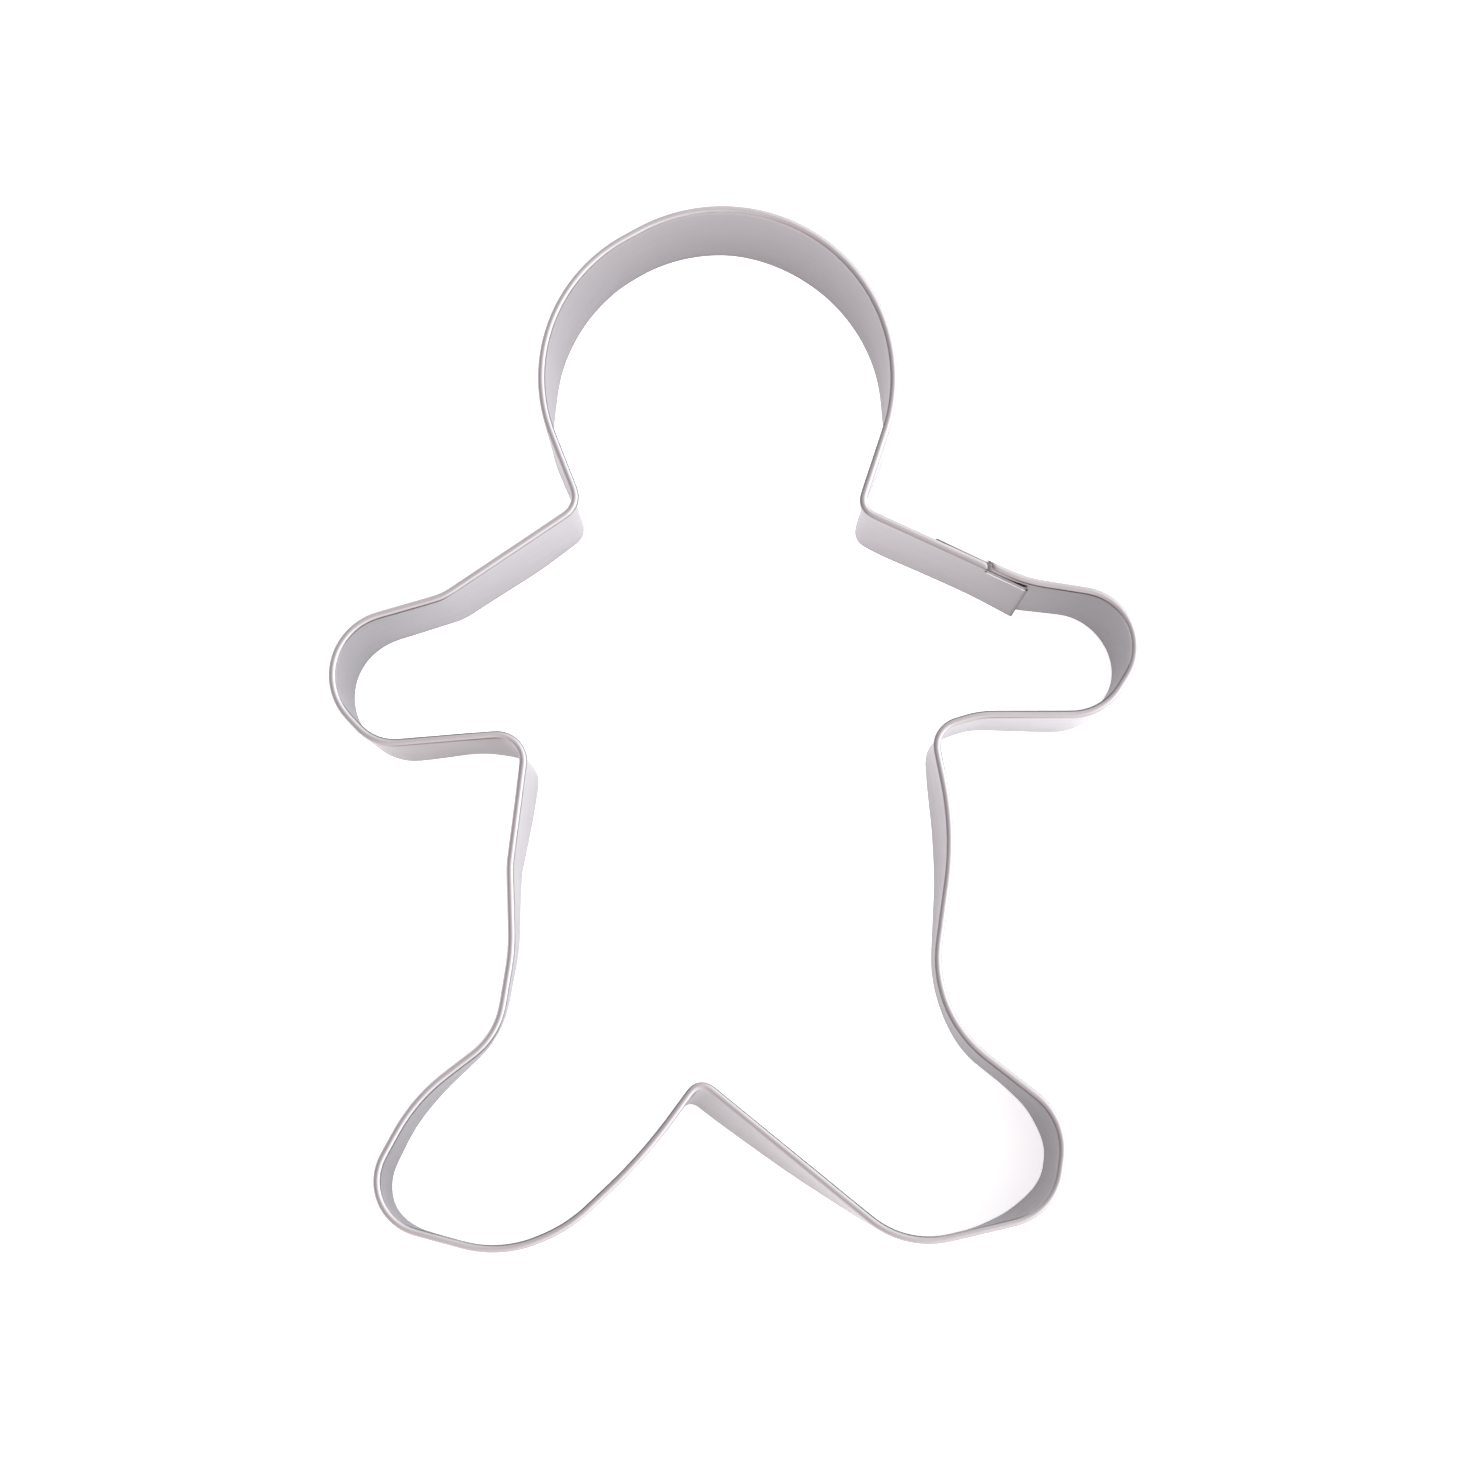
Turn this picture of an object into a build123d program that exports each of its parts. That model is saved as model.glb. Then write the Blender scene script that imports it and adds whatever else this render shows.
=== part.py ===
from build123d import *
import os
from math import asin, degrees

# A cookie cutter in the outline of a gingerbread figure: one long steel strip, its top edge
# rolled inward into a safe bead, bent round pins into the outline and spot welded where its
# two ends lap on the right shoulder. Millimetres, cutting edge on z = 0, head towards +Y.

# Outline
body_length = 120.0       # crown of the head to the soles
body_width = 92.4         # hand to hand

# Strip
strip_height = 22.0       # cutting edge to the top of the rolled rim
sheet = 0.3               # thickness of the steel
rim_width = 0.9           # rolled rim across, outside to outside
rim_depth = 1.1           # top of the rolled rim to its tucked edge

# Lap joint
lap_from_neck = 14.7      # end of the neck bend to the break between the two rim ends
rim_break = 0.65          # gap between the two rim ends
lap_gap = 0.04            # air left between the two lapped layers
inner_tab = 5.15          # reach of the layer inside the figure, past the rim break
outer_tab = 6.8           # reach of the layer outside the figure, past the rim break
inner_tab_drop = 4.8      # top of the rim down to the top of the inner tab

# Spot welds
nugget_width = 2.4        # across a weld nugget, in the plane of the lap
nugget_height_shares = (0.3, 0.72)    # places of the nuggets on the height of the inner tab

# Pins
# The strip is followed anticlockwise, seen from above, from the lap back to the lap. Each pin has
# its reach, the share of half the body width that carries it sideways (1 or -1 for the hands);
# its centre from there across and along the figure, and its radius, as shares of the body length;
# and its turn: 1 where the strip turns left round a bulge, -1 where it turns right in a hollow.
pin_shares = {
    "neck_right":       (0, 0.138, 0.2125, 0.011, -1),
    "head_right":       (0, -0.011, 0.332, 0.168, 1),
    "head_left":        (0, -0.030, 0.333, 0.158, 1),
    "neck_left":        (0, -0.172, 0.216, 0.017, -1),
    "shoulder_left":    (0, -0.300, 0.169, 0.050, -1),
    "hand_left":        (-1, 0.063, 0.045, 0.063, 1),
    "wrist_left":       (-1, 0.063, 0.026, 0.050, 1),
    "armpit_left":      (-0.4, -0.070, -0.037, 0.021, -1),
    "waist_left":       (0, -0.132, -0.140, 0.083, 1),
    "flank_left":       (0, -0.396, -0.204, 0.183, -1),
    "hip_left":         (0, -0.289, -0.257, 0.069, -1),
    "thigh_left":       (0, -0.168, -0.469, 0.173, 1),
    "heel_left":        (0, -0.285, -0.433, 0.053, 1),
    "sole_left":        (0, -0.225, -0.388, 0.112, 1),
    "toe_left":         (0, -0.231, -0.358, 0.142, 1),
    "inner_leg_left":   (0, -0.458, -0.080, 0.500, 1),
    "crotch":           (0, -0.030, -0.355, 0.008, -1),
    "sole_right":       (0, 0.182, -0.403, 0.089, 1),
    "toe_right":        (0, 0.250, -0.417, 0.060, 1),
    "foot_right":       (0, 0.245, -0.403, 0.067, 1),
    "hip_right":        (0.4, 0.154, -0.225, 0.112, -1),
    "waist_right":      (0.4, -0.238, -0.113, 0.292, 1),
    "armpit_right":     (0.4, 0.062, -0.023, 0.020, -1),
    "underarm_right":   (0.4, 0.091, -0.077, 0.080, -1),
    "wrist_right":      (1, -0.065, 0.061, 0.058, 1),
    "hand_right":       (1, -0.058, 0.072, 0.058, 1),
    "shoulder_right":   (0, 0.316, 0.259, 0.125, -1),
}


def pin(name, growth=0.0):
    """Centre, radius and turn of a pin, its radius larger by growth."""
    reach, x_share, y_share, radius_share, turn = pin_shares[name]
    centre = Vector(reach * body_width / 2 + x_share * body_length, y_share * body_length)
    return centre, radius_share * body_length + growth, turn


def straight_run(pin_a, pin_b):
    """Start, end and heading of the tangent on which the outer face leaves pin_a for pin_b."""
    (centre_a, radius_a, turn_a), (centre_b, radius_b, turn_b) = pin_a, pin_b
    across = centre_b - centre_a
    slant = asin((turn_b * radius_b - turn_a * radius_a) / across.length)
    ahead = across.normalized().rotate(Axis.Z, -degrees(slant))
    inward = ahead.rotate(Axis.Z, 90)
    return centre_a - inward * turn_a * radius_a, centre_b - inward * turn_b * radius_b, ahead


def section_plane(place, ahead):
    """Upright plane across the strip at a point of its outer face, x inward and y up."""
    return Plane(origin=place, x_dir=ahead.rotate(Axis.Z, 90), z_dir=ahead)


# Lap lines
# Both layers of the lap run on one bearing, from the shoulder to the neck. The outer layer is
# bent at the shoulder and the inner one at the neck, a sheet and the gap further in.
layer_step = sheet + lap_gap
outer_layer = straight_run(pin("shoulder_right"), pin("neck_right", -layer_step))
inner_layer = straight_run(pin("shoulder_right", layer_step), pin("neck_right"))
neck_end, lap_ahead = inner_layer[1], inner_layer[2]
lap_inward = lap_ahead.rotate(Axis.Z, 90)
break_inner = neck_end - lap_ahead * lap_from_neck
break_outer = break_inner - lap_inward * layer_step

# Sections
# The rim's crown is a half round, and its fold is pressed square inside.
crown_height = strip_height - rim_width / 2

with BuildSketch() as rimmed_section:
    with BuildLine():
        Polyline(
            (0, crown_height),
            (0, 0),
            (sheet, 0),
            (sheet, strip_height - sheet),
            (rim_width - sheet, strip_height - sheet),
            (rim_width - sheet, strip_height - rim_depth),
            (rim_width, strip_height - rim_depth),
            (rim_width, crown_height),
        )
        ThreePointArc((rim_width, crown_height), (rim_width / 2, strip_height), (0, crown_height))
    make_face()

with BuildSketch() as outer_tab_section:
    Rectangle(sheet, crown_height, align=(Align.MIN, Align.MIN))

with BuildSketch() as inner_tab_section:
    Rectangle(sheet, strip_height - inner_tab_drop, align=(Align.MIN, Align.MIN))

# Weld nuggets
# Each nugget is a disc across the lap: it fills the gap and reaches the middle of each sheet.
lap_middle = break_inner + lap_ahead * (outer_tab - inner_tab) / 2 - lap_inward * lap_gap / 2

with BuildPart() as spot_welds:
    for share in nugget_height_shares:
        seat = lap_middle + Vector(0, 0, share * (strip_height - inner_tab_drop))
        with BuildSketch(Plane(origin=seat, x_dir=lap_ahead, z_dir=lap_inward)):
            Circle(nugget_width / 2)
        extrude(amount=layer_step / 2, both=True)
spot_welds.part.label = "spot_welds"

# Cutter strip
# Straight runs are extruded along their heading, and each bend is the section turned about its pin.
names = list(pin_shares)
runs = [straight_run(pin(a), pin(b)) for a, b in zip(names, names[1:])]
first_run = (break_inner + lap_ahead * rim_break / 2, neck_end, lap_ahead)
last_run = (outer_layer[0], break_outer - lap_ahead * rim_break / 2, lap_ahead)
runs = [first_run] + runs + [last_run]

with BuildPart() as cutter_strip:
    for start, end, ahead in runs:
        with BuildSketch(section_plane(start, ahead)):
            add(rimmed_section.sketch)
        extrude(amount=(end - start).length)
    for name, (_, bend_start, ahead), (_, _, ahead_next) in zip(names, runs, runs[1:]):
        centre, _, turn = pin(name)
        with BuildSketch(section_plane(bend_start, ahead)):
            add(rimmed_section.sketch)
        revolve(axis=Axis(centre, Vector(0, 0, turn)), revolution_arc=ahead.get_angle(ahead_next))
    with BuildSketch(section_plane(break_inner - lap_ahead * inner_tab, lap_ahead)):
        add(inner_tab_section.sketch)
    extrude(amount=inner_tab + rim_break / 2)
    with BuildSketch(section_plane(break_outer - lap_ahead * rim_break / 2, lap_ahead)):
        add(outer_tab_section.sketch)
    extrude(amount=outer_tab + rim_break / 2)
    add(spot_welds.part, mode=Mode.SUBTRACT)
cutter_strip.part.label = "cutter_strip"

os.makedirs("parts", exist_ok=True)
for piece in (cutter_strip, spot_welds):
    export_step(piece.part, f"parts/{piece.part.label}.step")
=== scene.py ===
# %% [markdown]
# # A gingerbread figure cutter of bright steel
#
# The whole cutter is one strip of thin, bright steel. Its top edge is rolled inward into a
# rounded rim that is safe to press on, its bottom edge is left plain so that it cuts, and the
# strip is bent round pins into the outline of a gingerbread figure. The two ends lap on the
# right shoulder, where small welds hold them.
#
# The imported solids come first. They fix where everything is, and the pieces made here lie
# exactly on them: metres, cutting edge on the floor, head towards +Y.

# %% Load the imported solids
import math
import bpy
import numpy as np
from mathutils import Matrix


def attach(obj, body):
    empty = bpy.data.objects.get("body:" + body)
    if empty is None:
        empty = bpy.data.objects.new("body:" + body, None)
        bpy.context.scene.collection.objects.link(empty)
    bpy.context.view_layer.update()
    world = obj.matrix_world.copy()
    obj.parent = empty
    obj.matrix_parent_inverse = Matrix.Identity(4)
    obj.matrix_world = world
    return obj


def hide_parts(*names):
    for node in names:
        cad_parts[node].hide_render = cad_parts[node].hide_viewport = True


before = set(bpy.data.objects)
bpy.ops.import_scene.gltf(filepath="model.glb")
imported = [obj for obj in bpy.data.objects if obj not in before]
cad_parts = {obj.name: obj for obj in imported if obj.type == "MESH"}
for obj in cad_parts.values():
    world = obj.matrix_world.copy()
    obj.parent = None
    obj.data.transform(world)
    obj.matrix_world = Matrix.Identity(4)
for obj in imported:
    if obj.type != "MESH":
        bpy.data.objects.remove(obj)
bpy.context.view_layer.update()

# %% [markdown]
# ## The sizes of the strip
#
# These are the solid's own sizes. Everything below is written in them, so a change of the
# strip's height or of the rim's width carries through the whole piece.

# %% Sizes
mm = 0.001
body_length = 120 * mm     # crown of the head to the soles
body_width = 92.4 * mm     # hand to hand
strip_height = 22 * mm     # cutting edge to the top of the rolled rim
sheet = 0.3 * mm           # thickness of the steel
rim_width = 0.9 * mm       # rolled rim across
rim_depth = 1.1 * mm       # top of the rim to its tucked edge

lap_from_neck = 14.7 * mm  # neck bend to the break between the two rim ends
rim_break = 0.65 * mm      # gap between the two rim ends
lap_gap = 0.04 * mm        # air between the lapped layers
inner_tab = 5.15 * mm      # reach of the layer inside the figure
outer_tab = 6.8 * mm       # reach of the layer outside the figure
inner_tab_drop = 4.8 * mm  # top of the rim down to the inner tab
layer_step = sheet + lap_gap
print("lapped layers lie", round(layer_step / mm, 2), "mm apart")

# %% [markdown]
# ## The pins of the bending jig
#
# A strip like this is bent round pins, and between two pins it runs straight. So the outline
# needs only the pins. Each has a place, a radius and the side to which the strip turns.

# %% Pins: reach, x, y and radius in shares, turn
jig = {
    "neck_right":     (0, 0.138, 0.2125, 0.011, -1),
    "head_right":     (0, -0.011, 0.332, 0.168, 1),
    "head_left":      (0, -0.030, 0.333, 0.158, 1),
    "neck_left":      (0, -0.172, 0.216, 0.017, -1),
    "shoulder_left":  (0, -0.300, 0.169, 0.050, -1),
    "hand_left":      (-1, 0.063, 0.045, 0.063, 1),
    "wrist_left":     (-1, 0.063, 0.026, 0.050, 1),
    "armpit_left":    (-0.4, -0.070, -0.037, 0.021, -1),
    "waist_left":     (0, -0.132, -0.140, 0.083, 1),
    "flank_left":     (0, -0.396, -0.204, 0.183, -1),
    "hip_left":       (0, -0.289, -0.257, 0.069, -1),
    "thigh_left":     (0, -0.168, -0.469, 0.173, 1),
    "heel_left":      (0, -0.285, -0.433, 0.053, 1),
    "sole_left":      (0, -0.225, -0.388, 0.112, 1),
    "toe_left":       (0, -0.231, -0.358, 0.142, 1),
    "inner_leg_left": (0, -0.458, -0.080, 0.500, 1),
    "crotch":         (0, -0.030, -0.355, 0.008, -1),
    "sole_right":     (0, 0.182, -0.403, 0.089, 1),
    "toe_right":      (0, 0.250, -0.417, 0.060, 1),
    "foot_right":     (0, 0.245, -0.403, 0.067, 1),
    "hip_right":      (0.4, 0.154, -0.225, 0.112, -1),
    "waist_right":    (0.4, -0.238, -0.113, 0.292, 1),
    "armpit_right":   (0.4, 0.062, -0.023, 0.020, -1),
    "underarm_right": (0.4, 0.091, -0.077, 0.080, -1),
    "wrist_right":    (1, -0.065, 0.061, 0.058, 1),
    "hand_right":     (1, -0.058, 0.072, 0.058, 1),
    "shoulder_right": (0, 0.316, 0.259, 0.125, -1),
}
reach, x_share, y_share, radius_share, turn = np.array(list(jig.values())).T
pin_x = reach * body_width / 2 + x_share * body_length
pin_place = np.stack([pin_x, y_share * body_length], axis=1)
pin_radius = radius_share * body_length
print(len(jig), "pins, radii", np.round(pin_radius / mm, 1), "mm")

# %% [markdown]
# ## From pins to a path
#
# The straight run between two pins is their common tangent. With d the way from one centre to
# the next, it swings off d by the angle whose sine is the difference of the signed radii over
# the length of d. That is all the geometry there is: the bends are arcs between the tangents.
#
# Both layers of the lap run on one bearing from the shoulder to the neck. The inner layer
# clears the shoulder pin by one sheet and the gap, the outer one comes as much closer to the
# neck pin, so the list of pins is closed with those two grown and shrunk copies.

# %% Tangents between the pins
places = np.concatenate([pin_place[-1:], pin_place, pin_place[:1]])
radii = np.concatenate([pin_radius[-1:] + layer_step, pin_radius, pin_radius[:1] - layer_step])
turns = np.concatenate([turn[-1:], turn, turn[:1]])

across = np.diff(places, axis=0)
apart = np.linalg.norm(across, axis=1)
bearing = np.arctan2(across[:, 1], across[:, 0]) - np.arcsin(np.diff(turns * radii) / apart)
ahead = np.stack([np.cos(bearing), np.sin(bearing)], axis=1)
inward = np.stack([-ahead[:, 1], ahead[:, 0]], axis=1)
run_start = places[:-1] - inward * (turns * radii)[:-1, None]
run_end = places[1:] - inward * (turns * radii)[1:, None]

break_point = run_end[0] - ahead[0] * lap_from_neck
run_start[0] = break_point - ahead[0] * inner_tab
run_end[-1] = break_point - inward[0] * layer_step + ahead[0] * outer_tab
swing = (np.diff(bearing) + np.pi) % (2 * np.pi) - np.pi
print("bends turn by", np.round(np.degrees(swing)), "degrees")

# %% [markdown]
# ### Walking along the strip
#
# From here on, a place on the strip is a distance, as on the flat blank before it was bent.
# One function turns a whole array of distances into points. A Curve object could do it too,
# but then the lap's two layers would be harder to keep exactly one sheet apart.

# %% Walk along the path
def walk(distance):
    """Points of the strip's outer face at distances from the tip of the inner tab.

    Even pieces of the path are runs: start + share * (end - start). Odd ones are bends: the
    spoke from the pin to the end of the run before, turned by share * swing.
    """
    piece = np.searchsorted(path_marks, distance, side="right") - 1
    piece = np.clip(piece, 0, len(path_marks) - 2)
    share = (distance - path_marks[piece]) / (path_marks[piece + 1] - path_marks[piece])
    run = piece // 2
    straight = run_start[run] + share[:, None] * (run_end[run] - run_start[run])
    bend = np.minimum(run, len(swing) - 1)
    spoke = run_end[bend] - places[bend + 1]
    angle = share * swing[bend]
    turned = np.stack([
        spoke[:, 0] * np.cos(angle) - spoke[:, 1] * np.sin(angle),
        spoke[:, 0] * np.sin(angle) + spoke[:, 1] * np.cos(angle),
    ], axis=1)
    return np.where((piece % 2 == 0)[:, None], straight, places[bend + 1] + turned)


run_lengths = np.linalg.norm(run_end - run_start, axis=1)
bend_lengths = radii[1:-1] * np.abs(swing)
piece_lengths = np.zeros(2 * len(run_lengths) - 1)
piece_lengths[0::2] = run_lengths
piece_lengths[1::2] = bend_lengths
path_marks = np.concatenate([[0.0], np.cumsum(piece_lengths)])
strip_length = path_marks[-1]
rim_from = inner_tab + rim_break / 2
rim_to = strip_length - outer_tab - rim_break / 2
print("strip", round(strip_length / mm, 1), "mm long")
print("rim from", round(rim_from / mm, 2), "to", round(rim_to / mm, 2), "mm")

# %% [markdown]
# ## Softening the path, and letting the walls lean
#
# Steel springs back a little, so a bend fades into the straight run instead of stopping
# dead. A running average with bell shaped weights does the same to the path.
#
# A hand bent wall never stands quite plumb. The table says how far the cutting edge lies
# from under the rim, in x and y, at equal steps along the strip. A shift with a direction
# also moves the corners rightly, which an offset square to the wall wouldn't.
#
# The table's numbers weren't chosen by hand. A least squares fit to readings of the
# photographed edge gave them, so this table is no model to follow: a lean chosen by hand for
# each pin would be easier to read and to change.

# %% Soft path of the rim and of the cutting edge
fine = 0.1 * mm
spring = 0.40 * mm
lean_spread = 1.5 * mm
edge_shift = np.array([
    (-0.92, -0.44), (-0.66, -0.19), (-0.53, -0.30), (-0.58, -0.42), (-0.53, 0.31), (-0.02, -0.19),
    (-0.94, -0.92), (-0.68, -1.14), (-0.58, -1.08), (-0.45, -1.00), (-0.48, -0.76), (-0.27, -0.56),
    (-0.33, -0.61), (-0.20, -0.63), (0.06, -1.26), (0.44, -1.71), (1.03, -1.62), (0.53, -1.05),
    (0.39, -0.24), (0.53, 0.06), (1.16, 0.05), (1.24, 0.31), (1.19, 0.40), (1.20, 0.18),
    (0.92, 0.15), (0.97, 0.21), (0.75, 0.78), (1.11, 0.89), (1.01, 1.26), (1.06, -0.22),
    (0.94, 0.11), (0.65, 0.94), (0.21, 1.38), (-0.03, 1.58), (-0.18, 1.63), (-0.30, 0.44),
    (-0.18, -0.39), (0.02, -0.38), (0.32, -0.50), (0.38, 0.49), (-0.35, 0.44), (-0.94, 0.70),
    (-1.35, 0.02), (-1.70, -0.22), (-1.79, -0.32), (-1.59, -0.52), (-1.35, -0.95), (-0.91, -0.83),
    (-0.50, -0.61), (-0.05, -0.11), (0.39, 0.57), (0.18, 0.56), (-0.34, 0.50), (-1.05, 1.67),
    (-0.58, 0.96), (-1.21, 0.09), (-0.32, 0.20), (0.19, -0.18), (0.39, 0.02), (-0.08, 0.32),
    (-0.67, 0.34), (-1.20, 0.34), (-1.14, 0.52), (-0.31, 1.07), (-0.60, 1.32), (-0.81, 1.11),
    (-0.82, 0.99), (-0.86, 0.46), (-1.28, 0.22), (-1.55, 0.32), (-1.46, 0.01), (-1.44, 0.04),
    (-1.39, 0.12),
]) * mm
fine_walk = np.linspace(0, strip_length, int(strip_length / fine) + 1)


def soften(values, spread):
    """Running average of rows along the path, with weights exp(-(distance / spread)^2 / 2)."""
    half = int(4 * spread / fine)
    weights = np.exp(-0.5 * (np.arange(-half, half + 1) * fine / spread) ** 2)
    weights /= weights.sum()
    padded = np.pad(values, ((half, half), (0, 0)), mode="reflect", reflect_type="odd")
    return np.stack([np.convolve(column, weights, mode="valid") for column in padded.T], axis=1)


def along_strip(table):
    """Rows given at equal steps along the strip, read off all along it and softened."""
    steps = np.linspace(0, strip_length, len(table))
    full = np.stack([np.interp(fine_walk, steps, column) for column in table.T], axis=1)
    return soften(full, lean_spread)


def unit(vectors):
    """Vectors scaled to length one."""
    return vectors / np.linalg.norm(vectors, axis=-1, keepdims=True)


def left_of(path):
    """Unit normals to the left of a path, which is the inside of the figure."""
    along = unit(np.gradient(path, axis=0))
    return np.stack([-along[:, 1], along[:, 0]], axis=1)


rim_path = soften(walk(fine_walk), spring)
edge_path = rim_path + along_strip(edge_shift)
lean = np.sum((edge_path - rim_path) * left_of(rim_path), axis=1)
print("the cutting edge leans in by", np.round([lean.min() / mm, lean.max() / mm], 2), "mm")

# %% [markdown]
# ## Where the strip gets its rows of points
#
# A tight bend needs many points and a straight run few. The density of points is one part
# for every stretch of length and one part for every few degrees of turning, and the points
# are where its running sum passes whole numbers. A few more stand close to the two rim ends,
# where the rim is rounded off.

# %% Stations along the strip
longest_step = 0.8 * mm
largest_turn = math.radians(7)
fine_bearing = np.unwrap(np.arctan2(*np.gradient(rim_path, axis=0).T[::-1]))
density = 1 / longest_step + np.abs(np.gradient(fine_bearing, fine_walk)) / largest_turn
running = np.concatenate([[0.0], np.cumsum((density[1:] + density[:-1]) / 2 * np.diff(fine_walk))])


def stations_between(start, end):
    """Distances from start to end at equal steps of the running sum of the density."""
    low, high = np.interp([start, end], fine_walk, running)
    return np.interp(np.linspace(low, high, int(high - low) + 2), running, fine_walk)


near_end = np.array([0.05, 0.13, 0.26, 0.45, 0.8, 1.2]) * mm
closest = 0.01 * mm       # nearer than this, two stations are one
station = np.unique(np.concatenate([
    stations_between(0, rim_from),
    rim_from + near_end,
    stations_between(rim_from, rim_to),
    rim_to - near_end,
    stations_between(rim_to, strip_length),
]))
station = station[np.diff(station, prepend=-1.0) > closest]


def frames_at(distance):
    """Rim and edge points and their inward normals, read off the fine paths at distances."""
    tables = rim_path, edge_path, left_of(rim_path), left_of(edge_path)
    return [
        np.stack([np.interp(distance, fine_walk, column) for column in table.T], axis=1)
        for table in tables
    ]


print(len(station), "stations, closest", round(np.diff(station).min() / mm, 3), "mm")

# %% [markdown]
# ## The section of the strip
#
# Seen end on, the middle of the sheet is a tall line with a hook: up the wall, over a half
# round and down a short flap. Row by row, it gives how far the point lies inward of the wall
# and how high it is.
#
# Where the rim was cut for the lap, its two ends are drawn in a little.

# %% Rows across the strip
wall_heights = np.array([
    0.022, 0.15, 0.45, 1.2, 2.4, 4, 6, 8, 10, 12, 14, 15.8, 17.5, 18.6, 19.5, 20.0, 20.5, 21.1,
]) * mm
crown_rows = 14
flap_rows = 4
tab_row = int(np.argmin(np.abs(wall_heights - (strip_height - inner_tab_drop))))
wall_row = len(wall_heights)

end_round = 0.16 * mm     # over what length the ends of the rim are rounded off
end_narrowing = 0.16      # by what share of its width a rim end is drawn in
end_sink = 0.06 * mm      # how far a rim end sinks
start_share = 0.4         # how much of that the other rim end has
top_margin = 0.004 * mm   # keeps the crown's facets inside the solid's height


def smooth(low, high, value):
    """Share t = (value - low) / (high - low), kept from 0 to 1, eased as t^2 (3 - 2 t)."""
    share = np.clip((value - low) / (high - low), 0, 1)
    return share**2 * (3 - 2 * share)


def middle_section(distance):
    """Inward offset, height and developed length of each row, at distances along the strip.

    With w the rim's width and r = (w - sheet) / 2: the wall has offset 0; the crown has offset
    r (1 - cos a) and height c + r sin a for a from 0 to 180 degrees; the flap has offset 2 r
    and falls from c. Near a rim end w and c shrink by exp(-distance / end_round).
    """
    from_end = np.abs(rim_to - distance)[:, None]
    from_start = np.abs(distance - rim_from)[:, None]
    drawn_in = np.exp(-from_end / end_round) + start_share * np.exp(-from_start / end_round)
    width = rim_width * (1 - end_narrowing * drawn_in)
    radius = (width - sheet) / 2
    crown_foot = strip_height - top_margin - rim_width / 2 - end_sink * drawn_in
    wall = wall_heights[None, :] + 0 * width
    angle = np.linspace(0, np.pi, crown_rows + 1)[None, :]
    drop = np.linspace(0, 1, flap_rows + 1)[None, 1:] * (rim_depth - rim_width / 2)
    over, up = radius * (1 - np.cos(angle)), radius * np.sin(angle)
    offset = np.concatenate([0 * wall, over, 2 * radius + 0 * drop], axis=1)
    height = np.concatenate([wall, crown_foot + up, crown_foot - drop], axis=1)
    over_crown = crown_foot + radius * angle
    developed = np.concatenate([wall, over_crown, over_crown[:, -1:] + drop], axis=1)
    return offset, height, developed


offset, rise, developed = middle_section(station)
print(rise.shape[1], "rows, the steel's top at", round((rise.max() + sheet / 2) / mm, 2), "mm")

# %% [markdown]
# ## The bent strip
#
# Now the two parameters meet. A point of the sheet lies between the cutting edge's path and
# the rim's path by its height, and inward of them by its offset. A few long, shallow waves
# keep the wall from being machine flat, as on any cutter bent by hand.
#
# Sculpting could add such waves too, but as sines they can be measured and changed.

# %% Waves and places on the strip
wave_rows = np.array([[31.0, 0.030, 0.4], [17.3, 0.022, 2.1], [7.9, 0.012, 4.0]])


def waves(distance, height):
    """Shallow waves in the wall: sines along the strip, strongest half way up."""
    wave_length, size, start = wave_rows.T[:, None, :]
    along = (size * np.sin(2 * np.pi * distance[:, None] / (wave_length * mm) + start)).sum(axis=1)
    return along[:, None] * mm * np.sin(np.pi * np.clip(height / strip_height, 0, 1))


def place_on_strip(distance, offset, height):
    """Points of the sheet: edge + (rim - edge) * height share, then inward by the offset."""
    rim_at, edge_at, rim_normal, edge_normal = frames_at(distance)
    share = (height / strip_height)[:, :, None]
    foot = edge_at[:, None, :] * (1 - share) + rim_at[:, None, :] * share
    side = unit(edge_normal[:, None, :] * (1 - share) + rim_normal[:, None, :] * share)
    inset = offset + sheet / 2 + waves(distance, height)
    return np.concatenate([foot + side * inset[:, :, None], height[:, :, None]], axis=2)


print("waves of", np.round(wave_rows[:, 1], 3), "mm, every", wave_rows[:, 0], "mm")

# %% [markdown]
# ### The shape of the lap
#
# The outer tab stands off more and more towards its tip, but its top still curls in against
# the rim. So its offset gets a flare that grows along the tab and is let down at the top.
#
# The inner tab's lower corner was rounded, and the two rim ends were snipped at a slant, so
# the break between them runs askew. Both are made by drawing points back along the lap.

# %% Points of the sheet
stand_off = 0.46 * mm     # how far the outer tab stands off at its tip
flare = stand_off * np.clip((station - rim_to) / outer_tab, 0, 1)[:, None] ** 1.5
swells = 0.25 + 0.75 * smooth(14 * mm, 19 * mm, rise)
curls_in = 0.85 * smooth(19.9 * mm, 21.1 * mm, rise)
flare = flare * (swells - curls_in)
sheet_points = place_on_strip(station, offset - flare, rise)
print("the outer tab stands off by up to", round(flare.max() / mm, 2), "mm")

# %% Rounded corner and slanted cuts
tip_corner = 0.45 * mm    # radius of the inner tab's lower corner
in_corner = np.clip(tip_corner - rise, 0, tip_corner)
drawn_back = tip_corner - np.sqrt(tip_corner**2 - in_corner**2)
drawn_back *= np.clip(1 - station / inner_tab, 0, 1)[:, None] ** 2

end_slant = 0.50 * mm     # how far a rim end's cut runs along the strip, from flank to flank
slant_fade = 0.5 * mm     # over what length the slant fades
from_cut = np.minimum(np.abs(station - rim_from), np.abs(station - rim_to))[:, None]
askew = end_slant * (0.5 - offset / (rim_width - sheet)) * smooth(20 * mm, 21.5 * mm, rise)
drawn_back += askew * np.exp(-0.5 * (from_cut / slant_fade) ** 2)
sheet_points[:, :, :2] += drawn_back[:, :, None] * ahead[0]
print("drawn back by up to", round(np.abs(drawn_back).max() / mm, 2), "mm")

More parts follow.
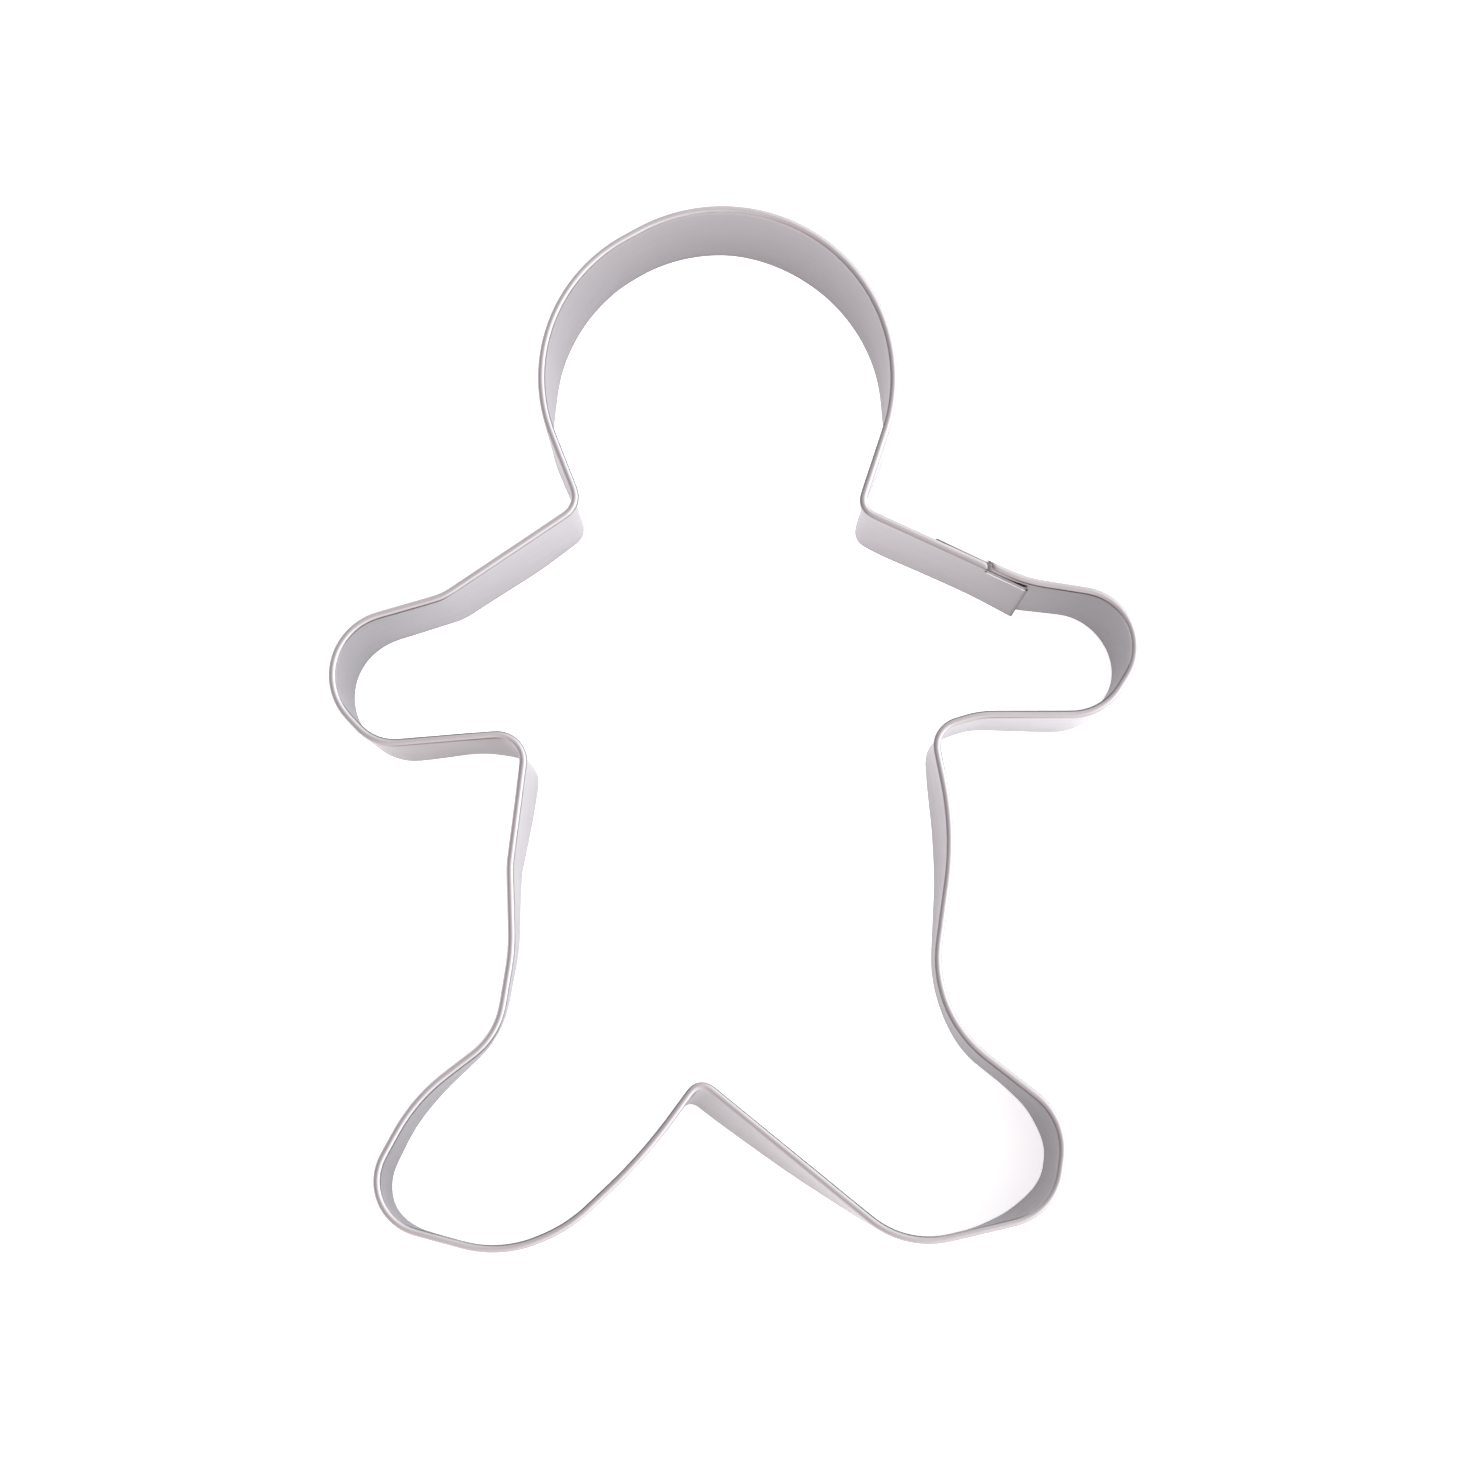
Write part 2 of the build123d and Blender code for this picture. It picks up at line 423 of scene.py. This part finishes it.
# %% [markdown]
# ### The blank
#
# The blank isn't a plain ribbon. Beyond the ends of the rim it goes on as two lower tabs, so
# the quads outside the blank are left out. A Boolean could cut them off too, but on so thin a
# sheet it would leave slivers.

# %% Quads of the blank
columns, rows = rise.shape
number = np.arange(columns * rows).reshape(columns, rows)
quads = np.stack([number[:-1, :-1], number[1:, :-1], number[1:, 1:], number[:-1, 1:]], axis=2)
between = (station[:-1] + station[1:]) / 2
row = np.arange(rows - 1)[None, :]
top_row = np.where(between < rim_from, tab_row, np.where(between > rim_to, wall_row, rows - 1))
quads = quads[row < top_row[:, None]]
print("sheet of", len(quads), "quads")

# %% [markdown]
# ### From arrays to steel
#
# One helper turns points and quads into a mesh, and lays the strip's own flat map on it as
# UV. Solidify then gives the sheet its thickness, half to each side. A small Bevel takes the
# hard corner off every cut edge, because only an eased edge catches a line of light.

# %% A mesh from points, faces and a map
def make_piece(name, points, faces, chart=None):
    """Mesh object at the origin from arrays: points (n, 3), quads (m, 4), chart (n, 2) as UV."""
    used, faces = np.unique(faces, return_inverse=True)
    faces = faces.reshape(-1, 4)
    mesh = bpy.data.meshes.new(name)
    mesh.from_pydata(points.reshape(-1, 3)[used].tolist(), [], faces.tolist())
    mesh.polygons.foreach_set("use_smooth", np.ones(len(faces), bool))
    if chart is not None:
        layer = mesh.uv_layers.new(name="along_the_strip")
        layer.data.foreach_set("uv", chart.reshape(-1, 2)[used][faces.ravel()].ravel())
    mesh.update()
    piece = bpy.data.objects.new(name, mesh)
    bpy.context.scene.collection.objects.link(piece)
    return piece


# %% Strip of steel
chart = np.stack([np.broadcast_to(station[:, None], rise.shape), developed], axis=2) / body_length
strip = make_piece("bent_strip", sheet_points, quads, chart)

edge_easing = 0.09 * mm
thickness = strip.modifiers.new("sheet", "SOLIDIFY")
thickness.thickness = sheet
thickness.offset = 0
thickness.use_even_offset = True
thickness.use_quality_normals = True

eased = strip.modifiers.new("eased cut edges", "BEVEL")
eased.width = edge_easing
eased.segments = 3
eased.limit_method = "ANGLE"
eased.angle_limit = math.radians(50)
eased.harden_normals = True

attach(strip, "root")
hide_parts("cutter_strip")
flat_points = sheet_points.reshape(-1, 3)
print("strip from", np.round(flat_points.min(axis=0) / mm, 2), "mm")
print("to", np.round(flat_points.max(axis=0) / mm, 2), "mm")

# %% [markdown]
# ## The welds in the lap
#
# Where the layers lap, small lenses of fused steel hold them together. A spot welder's two
# tips squeeze the sheets and melt a button between them, so it shows on neither face. Each
# lens sits inside the two sheets, and because the wall leans here, on the leaning wall.
#
# A lens is a grid of rings and spokes. All spokes of the first ring and of the last meet in
# a pole, so a Weld modifier joins them.

# %% A lens as a grid
def lens(radius, depth, rings, spokes):
    """Closed lens as a grid: radius sin b out from the axis, depth cos b along it."""
    slope = np.linspace(0, np.pi, rings + 1)[:, None]
    spoke = np.linspace(0, 2 * np.pi, spokes, endpoint=False)[None, :]
    out = radius * np.sin(slope)
    along_axis = depth * np.cos(slope) + 0 * spoke
    return np.stack([out * np.cos(spoke), out * np.sin(spoke), along_axis], axis=2)


def lens_quads(rings, spokes, first):
    """Quads between neighbouring rings, closed round the spokes."""
    count = first + np.arange((rings + 1) * spokes).reshape(rings + 1, spokes)
    onward = np.roll(count, -1, axis=1)
    return np.stack([count[:-1], count[1:], onward[1:], onward[:-1]], axis=2).reshape(-1, 4)


# %% Weld nuggets
nugget_radius = 1.2 * mm
nugget_shares = np.array([0.3, 0.72])
nugget_heights = nugget_shares * (strip_height - inner_tab_drop)
lap_at = np.array([rim_to + rim_break / 2 + (outer_tab - inner_tab) / 2])
rings, spokes = 8, 32

button = lens(nugget_radius, layer_step / 2, rings, spokes)
side = np.array([*frames_at(lap_at)[2][0], 0.0])
axes = np.stack([np.array([-side[1], side[0], 0.0]), np.array([0.0, 0.0, 1.0]), side])
nugget_points, nugget_quads = [], []
for height in nugget_heights:
    seat = place_on_strip(lap_at, np.array([[layer_step / 2]]), np.array([[height]]))[0, 0]
    nugget_quads.append(lens_quads(rings, spokes, len(nugget_points) * (rings + 1) * spokes))
    nugget_points.append((seat + button @ axes).reshape(-1, 3))

nuggets = make_piece("weld_nuggets", np.concatenate(nugget_points), np.concatenate(nugget_quads))
joined = nuggets.modifiers.new("joined poles", "WELD")
joined.merge_threshold = 0.001 * mm
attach(nuggets, "root")
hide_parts("spot_welds")
print("nuggets at heights", np.round(nugget_heights / mm, 1), "mm")

# %% [markdown]
# ## Finishes
#
# Shader maths is easier to read as an expression than as a web of boxes. A small class wraps
# a socket, so that a sum of two sockets adds a Math node.

# %% Sockets that add and multiply
class Wire:
    """An output socket with arithmetic: each operation adds one Math node."""

    def __init__(self, finish, socket):
        self.finish, self.socket = finish, socket

    def maths(self, operation, *values):
        """One Math node, from its operation and the values or wires of its inputs."""
        sockets = dict(enumerate(values))
        return self.finish.node("ShaderNodeMath", {"operation": operation}, sockets)

    def __add__(self, other):
        return self.maths("ADD", self, other)

    def __radd__(self, other):
        return self.maths("ADD", other, self)

    def __sub__(self, other):
        return self.maths("SUBTRACT", self, other)

    def __rsub__(self, other):
        return self.maths("SUBTRACT", other, self)

    def __mul__(self, other):
        return self.maths("MULTIPLY", self, other)

    def __rmul__(self, other):
        return self.maths("MULTIPLY", other, self)

    def __gt__(self, other):
        return self.maths("GREATER_THAN", self, other)

    def __lt__(self, other):
        return self.maths("LESS_THAN", self, other)

    def __pow__(self, other):
        return self.maths("POWER", self, other)

    def exp(self):
        return self.maths("EXPONENT", self)


# %% [markdown]
# ### A node tree that is written down
#
# Every other node comes from one method. It takes the node's type, its settings and the
# values or links of its sockets, so a finish reads from top to bottom like a recipe.

# %% Finishes made of nodes
class Finish:
    """The node tree of a material, or of the world, made one call at a time."""

    def __init__(self, owner):
        self.owner = owner
        owner.use_nodes = True
        self.tree = owner.node_tree
        self.tree.nodes.clear()

    def node(self, kind, settings=None, values=None, output=0):
        """Adds a node: settings first, then socket values or links. Returns one output."""
        made = self.tree.nodes.new(kind)
        for name, value in (settings or {}).items():
            setattr(made, name, value)
        for name, value in (values or {}).items():
            if isinstance(value, Wire):
                self.tree.links.new(value.socket, made.inputs[name])
            else:
                made.inputs[name].default_value = value
        return Wire(self, made.outputs[output]) if len(made.outputs) else made


# %% Noise and mixed colours
def noise(finish, coordinates, stretch, scale, detail=3.0, roughness=0.5):
    """Noise from 0 to 1 on coordinates stretched by a vector."""
    place = finish.node(
        "ShaderNodeVectorMath", {"operation": "MULTIPLY"}, {0: coordinates, 1: stretch}
    )
    values = {"Vector": place, "Scale": scale, "Detail": detail, "Roughness": roughness}
    return finish.node("ShaderNodeTexNoise", {}, values)


def mixed(finish, share, first, second):
    """Colour first * (1 - share) + second * share. Both are colours or wires."""
    first, second = [c if isinstance(c, Wire) else (*c, 1) for c in (first, second)]
    values = {0: share, 6: first, 7: second}
    return finish.node("ShaderNodeMix", {"data_type": "RGBA"}, values, output=2)


# %% [markdown]
# ### Bright rolled steel
#
# The sheet was rolled to a bright finish before it was bent. The rollers leave very fine
# lines that run along the strip, so the pattern must follow the sheet round every bend. It
# is laid on the strip's own map, along the strip and across it, and stretched a hundredfold
# along. The lines tip the surface a little and make it duller here and there. On top lie
# faint streaks, and wide clouds where the steel has been handled.
#
# The colour is a little darker than bare steel in an open room, since the room here is very
# bright. Everything that varies goes through one map, so it bends with the strip.

# %% Patterns on the strip
steel = Finish(bpy.data.materials.new("bright_rolled_steel"))
strip_map = steel.node("ShaderNodeUVMap", {"uv_map": "along_the_strip"})
rolling = noise(steel, strip_map, (3.0, 420.0, 1.0), 4.0, 4.0, 0.6)
fine_lines = noise(steel, strip_map, (6.0, 1500.0, 1.0), 4.0, 2.0, 0.5)
streaks = noise(steel, strip_map, (2.0, 40.0, 1.0), 4.0, 3.0, 0.6)
clouds = noise(steel, strip_map, (9.0, 14.0, 1.0), 3.0, 3.0, 0.55)

map_unit = body_length / mm    # the map is in body lengths, the marks are in millimetres
along_map, up_map = [
    steel.node("ShaderNodeSeparateXYZ", {}, {0: strip_map}, output=axis) * map_unit
    for axis in (0, 1)
]

steel_colour = (0.310, 0.293, 0.306)
steel_shade = (0.223, 0.209, 0.220)
# Besides the random clouds and streaks, the colour carries painted shade up the wall: a little
# darker towards the foot, lighter towards the rim.
lightness = clouds * 0.5 + streaks * 0.5 + up_map * 0.03 - 0.35
colour = mixed(steel, lightness, steel_shade, steel_colour)
print("patterns of", len(steel.tree.nodes), "nodes")

# %% [markdown]
# ### Painted shade and highlights of the lap
#
# Painted shade darkens the break between the rim ends and the tip of the inner tab, where
# shadow falls, and the foot of the wall is painted a little darker all the way round. The tops
# of both tabs carry a painted highlight along their cut edges. Each mark is a bell curve or a
# step in millimetres along the strip or up it.

# %% Painted shade and painted highlights
# Painted shade: a near black colour for the shadowed break, the shadowed tip of the inner tab and
# the foot of the wall.
painted_shade_colour = (0.035, 0.028, 0.028)
# Painted highlight: a near white colour along the tops of the two tabs.
painted_highlight_colour = (0.90, 0.87, 0.88)
inner_top = wall_heights[tab_row] / mm
outer_top = wall_heights[-1] / mm

# Painted shadow masks: the break between the rim ends, the tip of the inner tab, and a faint band
# of painted shade at the foot of the wall.
off_break = along_map - float(rim_to + rim_break / 2) / mm
in_break = (off_break * off_break * -5.0).exp() * (up_map > inner_top - 0.1)
at_tip = (along_map * along_map * -12.0).exp()
at_foot = (up_map * up_map * -1.6).exp()
colour = mixed(steel, in_break * 0.9 + at_tip * 0.8 + at_foot * 0.22, colour, painted_shade_colour)

# Painted highlight masks along the cut tops of the inner and the outer tab.
on_inner_top = (along_map < inner_tab / mm) * (up_map > inner_top - 0.35)
on_outer_top = (along_map > float(rim_to) / mm) * (up_map > outer_top - 0.2) * 0.5
highlight_mask = (on_inner_top + on_outer_top) * (1 - in_break) * (1 - at_tip)
colour = mixed(steel, highlight_mask, colour, painted_highlight_colour)
print("break at", round(float(rim_to + rim_break / 2) / mm, 1), "mm along the strip")

# %% Material of the strip
lines = rolling * 0.6 + fine_lines * 0.4
tipped = steel.node(
    "ShaderNodeBump", {}, {"Strength": 0.08, "Distance": 0.02 * mm, "Height": lines}
)
shader = steel.node(
    "ShaderNodeBsdfPrincipled",
    {},
    {
        "Base Color": colour,
        "Metallic": 1.0,
        "Specular Tint": (0.73, 0.72, 0.73, 1),
        "Roughness": 0.24 + clouds * 0.10 + rolling * 0.08,
        "Normal": tipped,
    },
)
steel.node("ShaderNodeOutputMaterial", {}, {"Surface": shader})
strip.data.materials.append(steel.owner)
print("bright rolled steel:", len(steel.tree.nodes), "nodes")

# %% [markdown]
# ### Fused steel
#
# A weld that has cooled is dull and slightly blue. It needs nothing but a fine grain, on
# Object coordinates, because a lens has no direction that the grain could follow.

# %% Material of the welds
fused = Finish(bpy.data.materials.new("fused_steel"))
place = fused.node("ShaderNodeTexCoord", {}, {}, output=3)
grain = noise(fused, place, (1.0, 1.0, 1.0), 4000.0)
shader = fused.node(
    "ShaderNodeBsdfPrincipled",
    {},
    {"Base Color": (0.42, 0.42, 0.45, 1), "Metallic": 1.0, "Roughness": 0.40 + grain * 0.25},
)
fused.node("ShaderNodeOutputMaterial", {}, {"Surface": shader})
nuggets.data.materials.append(fused.owner)
print("fused steel:", len(fused.tree.nodes), "nodes")

# %% [markdown]
# ## The set
#
# A shiny thing shows its surroundings, so the set matters as much as the metal. The cutter
# lies on a pale table that glows a little, like a light table, most under the middle of the
# figure. Lamps alone would leave the floor grey between the walls.

# %% Floor
floor_half = 1.5
floor_gap = 0.02 * mm     # a hair of air, so that the cutting edge and the table don't mix
glow_middle = (4 * mm, 19 * mm, 0)
glow_spread = 31 * mm
floor_points = np.array([[-1, -1, 0], [1, -1, 0], [1, 1, 0], [-1, 1, 0]]) * floor_half
floor_points[:, 2] = -floor_gap
floor = make_piece("table_top", floor_points, np.array([[0, 1, 2, 3]]))
pale = Finish(bpy.data.materials.new("pale_table"))
place = pale.node("ShaderNodeTexCoord", {}, {}, output=3)
off_middle = pale.node(
    "ShaderNodeVectorMath", {"operation": "DISTANCE"}, {0: place, 1: glow_middle}, output=1
) * (1 / glow_spread)
glow = 0.48 + (off_middle * off_middle * -0.5).exp() * 0.50
glow = pale.node("ShaderNodeCombineXYZ", {}, {0: glow, 1: glow, 2: glow * 1.03})
shader = pale.node(
    "ShaderNodeBsdfPrincipled",
    {},
    {
        "Base Color": (0.93, 0.93, 0.94, 1),
        "Roughness": 0.85,
        "Specular IOR Level": 0.2,
        "Emission Color": glow,
        "Emission Strength": 1.0,
    },
)
pale.node("ShaderNodeOutputMaterial", {}, {"Surface": shader})
floor.data.materials.append(pale.owner)
print("table", 2 * floor_half, "m wide")

# %% [markdown]
# ### The room
#
# Round the table is a bright room of five wide, soft lights. Each one is a lobe: with c the
# cosine of the angle off its middle, its strength is ((1 + c) / 2)^4. The window on the right
# is the brightest and the wall on the left the dimmest, so each rim has one bright and one
# grey flank, and no shadow has a hard edge. Area lamps would do as well, but in the curved
# steel they show as hard bright strips.
#
# The strengths began as a least squares fit to tones of the photograph, made in a separate
# script, and were then changed by eye from render to render.

# %% Light
room_lights = [
    ((1.0, 0.0, 0.25), (4.40, 4.66, 4.74)),    # window on the right
    ((0.0, -1.0, 0.25), (1.80, 1.57, 1.44)),   # bright wall in front
    ((0.0, 1.0, 0.25), (1.56, 1.50, 1.46)),    # wall behind
    ((-1.0, 0.0, 0.25), (0.52, 0.45, 0.46)),   # wall on the left
    ((0.0, 0.0, 1.0), (0.60, 0.58, 0.58)),     # ceiling
]
bpy.context.scene.world = bpy.data.worlds.new("bright_room")
room = Finish(bpy.context.scene.world)
direction = room.node("ShaderNodeTexCoord", {}, {}, output=0)
total = [0.0, 0.0, 0.0]
for towards, colour in room_lights:
    towards = unit(np.array(towards))
    facing = room.node(
        "ShaderNodeVectorMath", {"operation": "DOT_PRODUCT"}, {0: direction, 1: towards}, output=1
    )
    lobe = (facing * 0.5 + 0.5) ** 4
    total = [lobe * part + channel for part, channel in zip(colour, total)]
tone = room.node("ShaderNodeCombineXYZ", {}, dict(enumerate(total)))
backdrop = room.node("ShaderNodeBackground", {}, {"Color": tone, "Strength": 1.0})
room.node("ShaderNodeOutputWorld", {}, {"Surface": backdrop})
bpy.context.scene.view_settings.view_transform = "Standard"
print("room of", len(room_lights), "lights")

# %% [markdown]
# ## The camera
#
# The photograph looks almost straight down from about half a metre, from a little below the
# feet. The lens is long enough that the walls show only as narrow bands.

# %% Camera
image_side = 1460
focal_pixels = 4450
tilt = math.radians(6.98)
sensor = 36.0

lens_data = bpy.data.cameras.new("overhead")
lens_data.sensor_width = sensor
lens_data.lens = focal_pixels / image_side * sensor
camera = bpy.data.objects.new("overhead", lens_data)
camera.location = (-0.45 * mm, -62.4 * mm, 523.6 * mm)
camera.rotation_euler = (tilt, 0, 0)
bpy.context.scene.collection.objects.link(camera)
bpy.context.scene.camera = camera
print("lens", round(lens_data.lens, 1), "mm, tilted", round(math.degrees(tilt), 2), "degrees")
